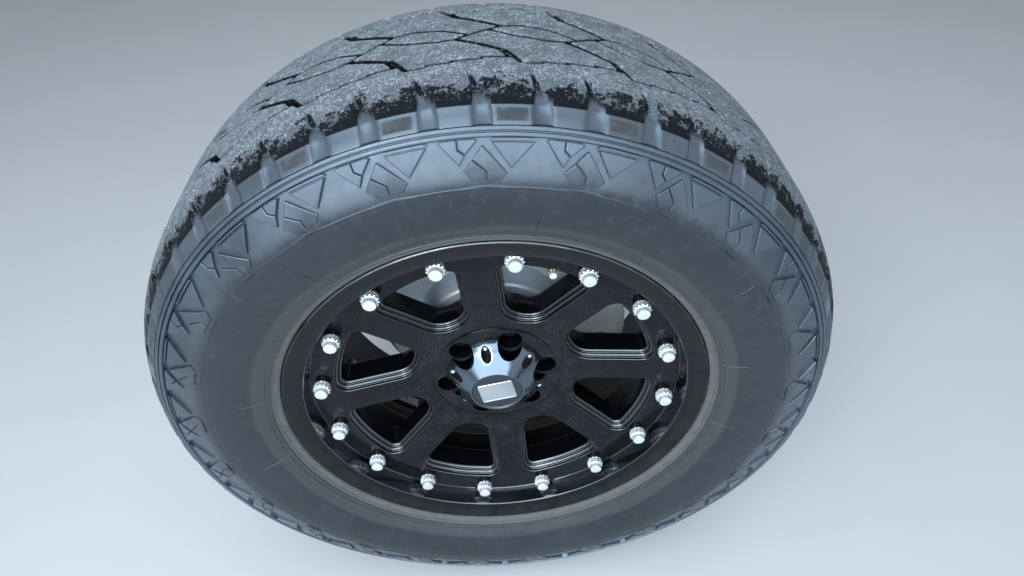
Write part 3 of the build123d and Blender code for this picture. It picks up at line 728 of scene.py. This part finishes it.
def inset(outline, amounts):
    """Closed outline moved inwards, by an amount for each side."""
    points = np.asarray(outline, float)
    ahead = np.roll(points, -1, axis=0) - points
    ahead /= np.linalg.norm(ahead, axis=1)[:, None]
    inward = np.stack([-ahead[:, 1], ahead[:, 0]], -1)
    inward *= np.sign(cross(points, np.roll(points, -1, axis=0)).sum())
    inward *= np.broadcast_to(amounts, len(points))[:, None]
    # Each corner is where the sides before and after it meet, unless they are in line
    before = np.roll(ahead, 1, axis=0)
    start, moved = points + np.roll(inward, 1, axis=0), points + inward
    bend = cross(before, ahead)
    bent = abs(bend) >= 1e-3
    along = (cross(moved - start, ahead)[bent] / bend[bent])[:, None]
    moved[bent] = start[bent] + before[bent] * along
    return moved


def divided(outline, longest):
    """Closed outline with its sides cut into pieces no longer than that."""
    made = []
    for a, b in zip(outline, np.roll(outline, -1, axis=0)):
        pieces = max(1, ceil(np.linalg.norm(b - a) / longest))
        made += [a + (b - a) * k / pieces for k in range(pieces)]
    return np.array(made)


def block(shape, outline, amounts, lift, deep, turns, edge=1, longest=12):
    """Raised blocks in an (arc, across) outline, one at each turn, placed at a level by lift."""
    foot = divided(inset(outline, amounts), longest)
    # Each ring has as many points as the foot, so that they can be joined
    rings = [(foot, -deep), (foot, -edge), (inset(foot, edge * 0.3), -edge * 0.3),
             (inset(foot, edge), 0)]
    top = rings[-1][0]
    low, high = top.min(0), top.max(0)
    lattice = np.meshgrid(*[np.arange(a, b, longest) for a, b in zip(low, high)])
    points, faces = filled(top, [], np.stack(lattice, -1))
    side = np.stack([lift(ring, level) for ring, level in rings])
    for turned in turns:
        shape.grid(spun(side, turned))
        shape.add(spun(lift(points, 0), turned), faces)


def tread_blocks(shape):
    """Centre blocks between the zigzag grooves: two large and a six-sided one in each pitch."""
    arc = radians(1) * tyre_r
    centre = np.array([centre_shift, half_depth])

    def lift(points, level):
        angle = tread_zero + points[:, 0] / arc
        return turn(crown(points[:, 1]) + level, angle, points[:, 1])

    sipe = [(2.5, 110.5), (6.6, 118), (10.1, 133)]
    large = [(-7.1, 70.5), (-3.5, 70.2), (-3.5, 66.8), (0.2, 66.6), (0.2, 63.6), (3.4, 63.4),
             (3.4, 60.5), (6.37, 60), (groove_bend[0] + pitch, groove_bend[1]),
             (groove_top[0] + pitch, groove_top[1]), *sipe[::-1], groove_top, groove_bend]
    middle = [groove_top, *sipe, (groove_top[0] + 8.25, rim_depth - groove_top[1])]
    middle += [tuple(2 * centre - p + (pitch, 0)) for p in np.array(sipe)]
    # Half widths of the grooves at each side
    wide, slim, fine, short = 4.8, 3.8, 2.8, 2.5
    large_gaps = [fine] * 7 + [wide, slim, short, fine, fine, fine, slim, wide]
    middle_gaps = [fine, fine, fine, short] * 2
    large, middle = np.array(large) * (arc, 1), np.array(middle) * (arc, 1)
    turns = np.arange(pitches) * pitch
    for outline, gaps in ((large, large_gaps), (2 * centre * (arc, 1) - large, large_gaps),
                          (middle, middle_gaps)):
        block(shape, outline, gaps, lift, tread_depth, turns)


def wall_blocks(shape, flipped):
    """Triangles and pentagons on the sidewall, split by thin sipes."""
    arc = radians(1) * 390

    def lift(points, level):
        radius, depth = wall(points[:, 1], np.full(len(points), level))
        return turn_tyre(radius, points[:, 0] / arc, depth, flipped)

    # Outlines of (angle, radius), with the sides that lie along a sipe and the edge's rounding
    whole, sipe = 0.3, 0.38
    pieces = [
        # Left triangle
        ([(94.95, 402.6), (94.4, 404), (92.3, 404), (92.3, 395.6), (91.35, 390.4),
          (92.3, 380.6)], (2, 3), 1),
        ([(92.3, 404), (90.1, 404), (89.55, 402.6), (91.35, 390.4), (92.3, 395.6)], (3, 4), 1),
        # Right triangle, with the strip along its top
        ([(88, 402.6), (87.5, 404.2), (82.2, 404.2), (81.7, 402.6), (81.82, 401.5),
          (87.88, 401.5)], (), 0.35),
        ([(87.8, 400.8), (81.9, 400.8), (85.1, 377.4)], (), 1),
        # Pentagon
        ([(89, 398.4), (90.5, 386.4), (88.6, 375.4), (88.6, 366), (86.5, 366),
          (85.5, 373.2)], (1, 2), 1),
        ([(90.5, 386.4), (91.95, 376), (90.6, 366), (88.6, 366), (88.6, 375.4)], (3, 4), 1),
    ]
    turns = (-1 if flipped else 1) * np.arange(pitches) * pitch
    for outline, sides, edge in pieces:
        gaps = [sipe if k in sides else whole for k in range(len(outline))]
        block(shape, np.array(outline) * (arc, 1), gaps, lift, valley_depth + 0.3, turns,
              edge=edge, longest=10)


def mould_lines(shape):
    """Thin raised lines across the wall below the step, left by the mould's segments."""
    across = np.array([-0.9, -0.35, 0.35, 0.9])
    height = np.array([-0.15, 0.4, 0.4, -0.15])
    start, whole = 289, 67
    for k in range(mould_line_count):
        length, lean = (whole, 9) if k % 4 == 1 else (29 + 5 * (k % 3), 3)
        radius = np.linspace(start, start + length, 14)[:, None]
        shift = (radius - start) / whole * lean + across
        angle = 12 + k * 360 / mould_line_count + np.degrees(shift / radius)
        r, d = wall(radius + 0 * angle, height + 0 * angle)
        shape.grid(turn(r, angle, d), round_columns=False)
        shape.grid(turn(r, -angle, rim_depth - d), round_columns=False)


body_of_tyre()
ribs, blocks, marks = Shape(), Shape(), Shape()
for flipped in (False, True):
    outer_rib(ribs, flipped)
    wall_blocks(marks, flipped)
tread_blocks(blocks)
mould_lines(marks)
ribs.make("tyre_shoulders", tyre_rubber, slot="tyre")
blocks.make("tread_blocks", tyre_rubber, slot="tyre", sharp=18)
marks.make("sidewall_blocks", tyre_rubber, slot="tyre", sharp=18)


# ---- Wheel casting ----

def face(radius):
    """Depth of the wheel's face at a radius."""
    return np.interp(radius, [hub_recess_r, hub_rim_r, window_outer_r],
                     [recess_depth, hub_depth, face_depth])


def back(radius):
    """Depth of the spokes' back at a radius."""
    return face(radius) + spoke_thickness


def arc_of(centre, radius, start, end, count):
    """Points along an arc on the wheel's face."""
    turned = np.radians(np.linspace(start, end, count))
    return [(centre[0] + radius * cos(t), centre[1] + radius * sin(t)) for t in turned]


def window_outline(inwards):
    """Outline of the window on +X, moved inwards."""
    half_pitch = 180 / spokes
    outer_r, inner_r = window_outer_r - window_corner_r, window_inner_r + inner_corner_r
    outer_angle, inner_angle = (
        half_pitch - degrees(asin((spoke_width / 2 + corner) / radius))
        for corner, radius in ((window_corner_r, outer_r), (inner_corner_r, inner_r))
    )
    upper = arc_of((0, 0), window_outer_r - inwards, 0, outer_angle, 30)
    upper += arc_of(spot(outer_r, outer_angle), window_corner_r - inwards,
                    outer_angle, half_pitch + 90, 13)[1:]
    turn_in = arc_of(spot(inner_r, inner_angle), inner_corner_r - inwards,
                     half_pitch + 90, inner_angle + 180, 15)
    end = np.array(upper[-1])
    upper += [tuple(end + (np.array(turn_in[0]) - end) * t) for t in np.linspace(0, 1, 9)[1:-1]]
    upper += turn_in
    upper += arc_of((0, 0), window_inner_r + inwards, inner_angle, 0, 6)[1:]
    lower = [(x, -y) for x, y in upper[-2:0:-1]]
    return np.array(upper + lower)


def round_valve(outline, inwards):
    """Window outline carried round the valve's pocket, in the window's own turn."""
    radius = valve_pocket_r - min(inwards, 0)
    middle = radians(valve_angle - valve_window_angle)
    centre = np.array(spot(valve_circle_r, degrees(middle)))
    reach = reach_of(outline)
    aside = np.arctan2(outline[:, 1], outline[:, 0]) - middle
    moved = outline.copy()
    for k in np.flatnonzero(reach_of(outline - centre) < radius):
        cosine = (reach[k] ** 2 - valve_circle_r ** 2 - radius ** 2) / (2 * valve_circle_r * radius)
        widest = acos(cosine)
        limit = asin(radius * sin(widest) / reach[k])
        way = middle + widest * aside[k] / limit
        moved[k] = centre + radius * np.array([cos(way), sin(way)])
    return moved


def ring_lattice(low, high, step=grid_step):
    """Points spread over a ring of the wheel's face."""
    made = []
    for radius in np.arange(low, high, step):
        count = int(2 * pi * radius / step / spokes) * spokes
        made += [spot(radius, angle) for angle in evenly(count, spoke_angle)]
    return made


def around(radius, sides=rim_sides):
    return [spot(radius, angle) for angle in evenly(sides)]


def circle(x, z, radius, sides=48):
    return np.array(arc_of((x, z), radius, 0, 360, sides + 1)[:-1])


def cut_windows(shape):
    """Walls of the windows, and their outlines on the face and on the back."""
    # Rows down the wall, as (inwards, down): a rounded edge, two rounded ledges, the through cut
    arc = [(sin(t) - 1, 1 - cos(t)) for t in np.radians(np.arange(0, 91, 15))]
    front = [(inwards * face_round, down * face_round) for inwards, down in arc]
    for level in (ledge_step, 2 * ledge_step):
        front += [(level - ledge_step, level - 0.3), (level - ledge_step + 0.3, level)]
        front += [(level + inwards * ledge_round, level + down * ledge_round)
                  for inwards, down in arc]
    cut = 2 * ledge_step
    valve_down = valve_floor - face(window_outer_r - cut)
    front += [(cut, valve_down)]
    below = [(cut, valve_down), (cut, spoke_thickness - 1.5), (cut - 0.5, spoke_thickness - 0.4),
             (cut - 1.5, spoke_thickness)]
    front_holes, back_holes = [], []
    for angle in window_angles:
        at_valve = angle == valve_window_angle
        rows = []
        for k, (inwards, down) in enumerate(front + below):
            outline = window_outline(inwards)
            depth = face(reach_of(outline)) + down
            if at_valve and k < len(front):
                outline = round_valve(outline, inwards)
            if k == 0:
                front_holes.append(turned_flat(outline, angle))
            rows.append(flat(outline, depth))
        back_holes.append(turned_flat(outline, angle))
        shape.grid(spun(np.array(rows), angle))
    return front_holes, back_holes


def bore_lugs(shape):
    """Lug pockets from the face to their seats, with holes through to the back."""
    wide_holes, holes = [], []
    rows = [(lug_pocket_r + 1.2, recess_depth), (lug_pocket_r + 0.4, recess_depth + 0.35),
            (lug_pocket_r, recess_depth + 1.2), (lug_pocket_r, lug_seat - 1.5),
            (lug_pocket_r - 1.5, lug_seat), (lug_hole_r + 0.6, lug_seat),
            (lug_hole_r, lug_seat + 0.6), (lug_hole_r, pad_depth)]
    for angle in evenly(lugs, lug_angle):
        place = spot(lug_circle_r, angle)
        shape.grid(np.array([flat(circle(*place, radius), depth) for radius, depth in rows]))
        wide_holes.append(circle(*place, rows[0][0]))
        holes.append(circle(*place, lug_hole_r))
    return wide_holes, holes


def hollow_spokes(shape):
    """Hollow in the back of each spoke, and its outlines on the back."""
    roof = face_depth + hollow_roof
    half = hollow_width / 2
    hollow = divided(rounded([
        (hollow_outer_r, -half, 4), (hollow_outer_r, half, 4), (hollow_inner_r, half, 4),
        (hollow_inner_r, -half, 4),
    ]), 8)
    outlines = []
    for angle in evenly(spokes, spoke_angle):
        rows = [flat(hollow, back(reach_of(hollow)))]
        rows += [flat(inset(hollow, amount), roof + lift)
                 for amount, lift in ((0.5, 2), (1.1, 0.7), (2.4, 0))]
        shape.grid(spun(np.array(rows), angle))
        lattice = ring_lattice(hollow_inner_r, hollow_outer_r, 8)
        points, faces = filled(inset(hollow, 2.4), [], lattice)
        shape.add(spun(flat(points, roof), angle), faces)
        outlines.append(turned_flat(hollow, angle))
    return outlines


def wheel_casting():
    """Face with stepped windows, lug pockets and spoke hollows, on the barrel and lip."""
    shape = Shape()
    front_holes, back_holes = cut_windows(shape)
    lug_pockets, lug_holes = bore_lugs(shape)
    bore = around(bore_r)
    lattice = ring_lattice(bore_r + 5, hub_recess_r - 3) + around(hub_recess_r)
    lattice += around(hub_rim_r) + ring_lattice(hub_rim_r + 5, face_edge_r - 3)
    shape.fill(face, around(face_edge_r), front_holes + lug_pockets + [bore], lattice)
    back_holes += hollow_spokes(shape)
    shape.fill(back, around(back_edge_r), back_holes + [around(pad_start_r)],
               ring_lattice(pad_start_r + 4, back_edge_r - 3))
    # Lip and barrel, as (radius, depth, rounding), from the face's edge round to the spokes' back
    edge, seat, drop = rim_edge_r, seat_r, drop_r
    lip = [(face_edge_r, face_depth, 0), (244.9, face_depth, 2.5), (247.7, 7.4, 1.8),
           (edge - 2, 0, 1.4), (edge, 1.5, 1.2), (edge, 6.5, 3), (seat + 3, 13, 5),
           (seat, 13.5, 3), (seat, 33.5, 4), (drop, 66, 12), (drop, 118, 12), (seat, 150, 4),
           (seat, rim_depth - 33.5, 0), (seat, rim_depth - 13.5, 3), (seat + 3, rim_depth - 13, 5),
           (edge, rim_depth - 6.5, 3), (edge, rim_depth - 0.8, 0.8), (edge - 2, rim_depth, 0.8),
           (243.4, rim_depth, 3), (243.4, 150, 10), (219, 118, 10),
           (219, back(back_edge_r) + 3, 4), (back_edge_r, back(back_edge_r), 0)]
    shape.lathe(rounded(lip))
    pad = [(pad_start_r, back(pad_start_r), 0), (94.5, back(pad_start_r) + 3, 3),
           (93, pad_depth, 1), (pad_flat_r, pad_depth, 0)]
    shape.lathe(rounded(pad))
    shape.fill(pad_depth, around(pad_flat_r), lug_holes + [bore],
               ring_lattice(bore_r + 5, pad_flat_r - 3))
    shape.lathe([(bore_r, pad_depth), (bore_r, recess_depth)])
    shape.make("wheel_face", black_paint, "wheel_casting", slot="wheel_paint", sharp=24)


wheel_casting()


# ---- Bolts, cap, nuts and valve ----

def standing(shape, rows, place, base, sides, teeth=0, tooth_depth=0, phase=0, twist=0):
    """A turned piece standing on the face: rows of (radius, height, share of the teeth's depth)."""
    even = np.arange(sides) * 360 / sides
    made = []
    for radius, height, share in rows:
        angle = np.radians(even + phase + twist * height / rows[-1][1])
        reach = radius + np.cos(np.radians(even) * teeth) * tooth_depth / 2 * share
        ring = np.stack([reach * np.cos(angle), reach * np.sin(angle)], -1) + place
        made.append(flat(ring, base - height))
    shape.grid(np.array(made))
    shape.add(made[-1], [list(range(sides))])


def lip_bolts():
    """Twelve-toothed bolts with twisted flutes, each on a dark foot, round the lip."""
    heads, feet = Shape(), Shape()
    foot = [(8.4, 0, 0), (8.4, 4.8, 0), (7.9, 5.2, 0)]
    head = [(8, 4.4, 0), (9.2, 4.6, 0), (9.6, 5.2, 0.2), (9.7, 6, 0.9), (9.8, 8, 1),
            (9.9, 10, 1), (10.1, 12, 1), (10.2, 13.6, 1), (10, 14.2, 0.4), (9.3, 14.7, 0),
            (8.3, 14.9, 0), (8.3, 20.3, 0), (7.7, 21.5, 0), (6.4, 21.9, 0)]
    for k in range(bolts):
        place = spot(bolt_circle_r, first_bolt_angle - k * 360 / bolts)
        standing(feet, foot, place, face_depth, 36)
        standing(heads, head, place, face_depth, 84, teeth=12, tooth_depth=3,
                 phase=random.uniform(0, 25), twist=45)
    heads.make("lip_bolt_set", zinc, "lip_bolts", slot="bolt_zinc", sharp=28)
    feet.make("lip_bolt_feet", dark_steel, slot="bolt_zinc")


cap_profile = np.array([
    (0, 25), (26, 25.6), (32.6, 26), (33.4, 25.4), (34.2, 24.2), (35.6, 24), (36.6, 24.7),
    (38.5, 26.3), (43.5, 30), (49, 34.2), (55, 39.4), (60, 44.2), (64.5, 49.6), (67.2, 53.4),
    (cap_base_r, 55.4),
])


def cap_height(radius):
    """Depth of the cap's surface at a radius."""
    return np.interp(radius, *cap_profile.T)


def screw_floor(radius):
    """Depth of the floor under a cap screw at a radius."""
    return np.maximum(cap_screw_floor, cap_height(radius) + 1.2)


def centre_cap():
    """Smoked dome notched round the lugs, with its screws and a plain plate on the front."""
    shape, shaded_wells, screws, plate = Shape(), Shape(), Shape(), Shape()
    outline, ovals = [], []
    mouth = degrees(2 * asin(cap_notch_r / 2 / cap_base_r))
    oval = circle(0, 0, 1, 32) * (8.3, 6.4) + (cap_screw_circle_r, 0)
    screw = [(3.3, 0, 0), (3.3, 1.6, 0), (3, 2.3, 0), (2.3, 2.7, 0), (1.5, 2.8, 0.5),
             (1.5, 1.4, 1)]
    for middle in evenly(lugs, lug_angle):
        outline += arc_of(spot(lug_circle_r, middle), cap_notch_r, middle + 266, middle + 94, 25)
        outline += [spot(cap_base_r, t)
                    for t in np.linspace(middle + mouth, middle + 360 / lugs - mouth, 12)]
        turned = middle + 180 / lugs
        rows = []
        for amount, down in ((-0.7, 0), (-0.2, 0.2), (0, 0.8)):
            ring = turned_flat(inset(oval, amount), turned)
            rows.append(flat(ring, cap_height(reach_of(ring)) + down))
        shape.grid(np.array(rows))
        ovals.append(turned_flat(inset(oval, -0.7), turned))
        ring = turned_flat(oval, turned)
        # Painted shade: the screw wells take a near-black finish where the cap's chrome lies in
        # shadow
        shaded_wells.grid(np.array([rows[-1], flat(ring, screw_floor(reach_of(ring)))]))
        shaded_wells.fill(screw_floor, ring, [], spot(cap_screw_circle_r, turned))
        standing(screws, screw, spot(cap_screw_circle_r + 4, turned), cap_screw_floor, 36,
                 teeth=6, tooth_depth=0.5)
    outline = np.array(outline)
    lattice = [(0, 0)]
    for radius in (8, 14, 20, 26, 32.6, 33.4, 34.2, 35.6, 36.6, 38.5, 41, 43.5, 46, 49, 52, 55,
                   57.5, 60, 62.5, 64.5, 67.2):
        lattice += around(radius, 12 * max(2, int(radius / 4)))
    shape.fill(cap_height, outline, ovals, lattice)
    top = cap_height(reach_of(outline))
    shape.grid(np.array([flat(outline, top),
                         flat(outline, np.maximum(top + 0.5, recess_depth - 0.1))]))
    plug = [(42.9, 56, 0), (43.3, 73.6, 1), (38, 74, 0)]
    shape.lathe(rounded(plug), sides=96)
    corners = rounded([(-23.5, -17, 2.4), (23.5, -17, 2.4), (23.5, 17, 2.4), (-23.5, 17, 2.4)])
    outer = turned_flat(divided(corners, 4), plate_turn)
    inner = inset(outer, 1.9)
    plate.grid(np.array([
        flat(outer, plate_depth + 1.05), flat(outer, plate_depth + 0.15),
        flat(inset(outer, 0.35), plate_depth - 0.2), flat(inset(outer, 1.6), plate_depth - 0.25),
        flat(inner, plate_depth),
    ]))
    plate.fill(plate_depth, inner, [], ring_lattice(2, 26, 4))
    shape.make("cap_dome", chrome, "centre_cap", slot="cap_chrome", sharp=40)
    # The wells' near-black nut finish is painted shade
    shaded_wells.make("cap_screw_wells_painted_shade", nut_black, slot="nut_black")
    screws.make("cap_screws", bright_screw, slot="chrome")
    plate.make("cap_plate", plate_metal, slot="cap_chrome")


def lug_nuts():
    """Six-sided nuts in their pockets."""
    nuts = Shape()
    nut = [(11.2, 0, 0.3), (12.2, 6, 1), (12.2, 26, 1), (11.4, 30, 0.6), (9.5, 33, 0.2),
           (6.5, 34, 0)]
    for k, angle in enumerate(evenly(lugs, lug_angle)):
        standing(nuts, nut, spot(lug_circle_r, angle), lug_seat, 72, teeth=6, tooth_depth=1.6,
                 phase=lug_angle + k * nut_turn)
    nuts.make("lug_nut_set", nut_black, "lug_nuts", slot="nut_black", sharp=28)


def valve():
    """Brass stem with a nut at its foot, and a knurled cap."""
    stem, cover = Shape(), Shape()
    place = spot(valve_circle_r, valve_angle)
    rows = [(7, 0, 1), (7, 4.6, 1), (6.2, 5.2, 0.5), (4.3, 5.4, 0), (4.3, 16, 0),
            (4.9, 16.4, 1), (4.9, 22.4, 1), (4.3, 22.8, 0), (3.9, 23, 0)]
    standing(stem, rows, place, valve_floor, 48, teeth=6, tooth_depth=0.9)
    rows = [(4.1, 22.2, 0), (4.6, 22.8, 1), (4.6, 28.2, 1), (4.2, 29.4, 0.5), (3.2, 30, 0)]
    standing(cover, rows, place, valve_floor, 60, teeth=20, tooth_depth=0.4)
    stem.make("valve_body", brass_metal, "valve_stem", slot="brass")
    cover.make("valve_cover", zinc, "valve_cap", slot="chrome")


lip_bolts()
centre_cap()
lug_nuts()
valve()


# ---- Brake disc, and the CAD pieces that are kept ----

def brake_disc():
    """Hat and front cheek in one profile, the rear cheek, and the vanes between them."""
    disc = Shape()
    rear = disc_depth + cheek
    far = rear + vane_height
    hat = [(42, pad_depth + 7, 0), (42, pad_depth, 0.5), (104.5, pad_depth, 3), (107.5, 124, 2),
           (107.5, disc_depth, 2.5), (disc_r - 0.6, disc_depth, 0.8), (disc_r, rear, 0.8),
           (150, rear, 0), (118, rear, 0), (100.5, rear, 2), (100.5, pad_depth + 7, 1)]
    plate = [(108, far, 0), (disc_r, far, 0.8), (disc_r, far + cheek, 0.8), (108, far + cheek, 1)]
    for outline in (hat, plate):
        disc.lathe(rounded(outline), sides=192, closed=True)
    vane = np.array([(109, -2), (157, -2), (157, 2), (109, 2)], float)
    for angle in evenly(vanes):
        disc.grid(spun(np.array([flat(vane, rear), flat(vane, far)]), angle))
    disc.make("disc_turned", iron, "brake_disc", slot="disc_iron")


brake_disc()
kept = [
    (steel, "hub_shaft", "wheel_studs", "bracket_bolts", "pad_plates"), (lining, "pad_linings"),
    (cast, "bearing_housing", "caliper_bracket"), (shield_zinc, "balance_weights", "dust_shield"),
    (caliper_zinc, "caliper_body"), (zinc, "slide_pins"), (brass_metal, "bleed_screw"),
]
for material, name in [(material, name) for material, *names in kept for name in names]:
    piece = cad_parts[name]
    piece.data.materials.clear()
    piece.data.materials.append(material)
    softened = piece.modifiers.new("edges", "BEVEL")
    softened.width = 0.7 * MM
    softened.segments = 2
    softened.limit_method = "ANGLE"


# ---- Camera, floor and light ----

def camera():
    """Camera at the photo's viewpoint, worked out from the rim's circles and the bolts."""
    data = bpy.data.cameras.new("camera")
    data.lens = 24.89
    made = placed("camera", data)
    made.matrix_world = Matrix.Translation((0.0171, -0.8202, 0.7346))
    # To the right, up from straight down, and rolled about its own axis
    for turned, axis in ((-0.971, "Z"), (90 - 42.316, "X"), (-3.299, "Z")):
        made.matrix_world @= Matrix.Rotation(radians(turned), 4, axis)
    bpy.context.scene.camera = made


def lamp(name, place, aim, size, power, colour):
    data = bpy.data.lights.new(name, "AREA")
    data.shape = "RECTANGLE"
    data.size, data.size_y = size
    data.energy = power
    data.color = colour
    made = placed(name, data)
    made.location = place
    made.rotation_euler = (Vector(aim) - Vector(place)).to_track_quat("-Z", "Y").to_euler()


def studio():
    """Floor and sky, both paler where they are seen than in the light they give, and four lamps."""
    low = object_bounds()[0]
    bpy.ops.mesh.primitive_plane_add(size=40, location=(0, 0, low.z))
    floor = bpy.context.object
    floor.name = "floor"
    made = finish("floor")
    cloud = made.noise(3)
    colour = made.blend(cloud, (0.48, 0.48, 0.48), (0.54, 0.54, 0.53))
    pale = made.blend(cloud, (0.6, 0.6, 0.6), (0.66, 0.66, 0.65))
    floor.data.materials.append(made.finished({
        "Base Color": made.blend(made.seen_directly(), colour, pale),
        "Roughness": 0.9,
    }))
    made = Nodes(bpy.data.worlds.new("world"))
    bpy.context.scene.world = made.owner
    sky = made.tree.nodes["Background"]
    made.set(sky, {"Color": (0.74, 0.84, 1, 1), "Strength": 0.3})
    plain = made.node("Background", {"Color": (0.84, 0.89, 0.94, 1), "Strength": 1})
    both = {0: made.seen_directly(), 1: sky.outputs[0], 2: plain.outputs[0]}
    mixed = made.node("MixShader", both).outputs[0]
    made.set(made.tree.nodes["World Output"], {"Surface": mixed})
    lamp("top", (-0.3, -1.1, 2.2), (0, 0, 0.1), (2.6, 1.6), 43, (0.73, 0.88, 1))
    lamp("front", (-0.5, -3.3, 1.42), (0, 0, 0.2), (5, 2.5), 160, (0.7, 0.85, 1))
    lamp("key", (-0.9, -1.7, 1.5), (0, 0, 0), (0.8, 0.8), 16, (0.95, 0.98, 1))
    lamp("back", (0.4, 1.6, 2), (0, 0, 0.2), (2.4, 1.2), 10, (0.85, 0.92, 1))


camera()
studio()
bpy.context.scene.view_settings.view_transform = "Standard"
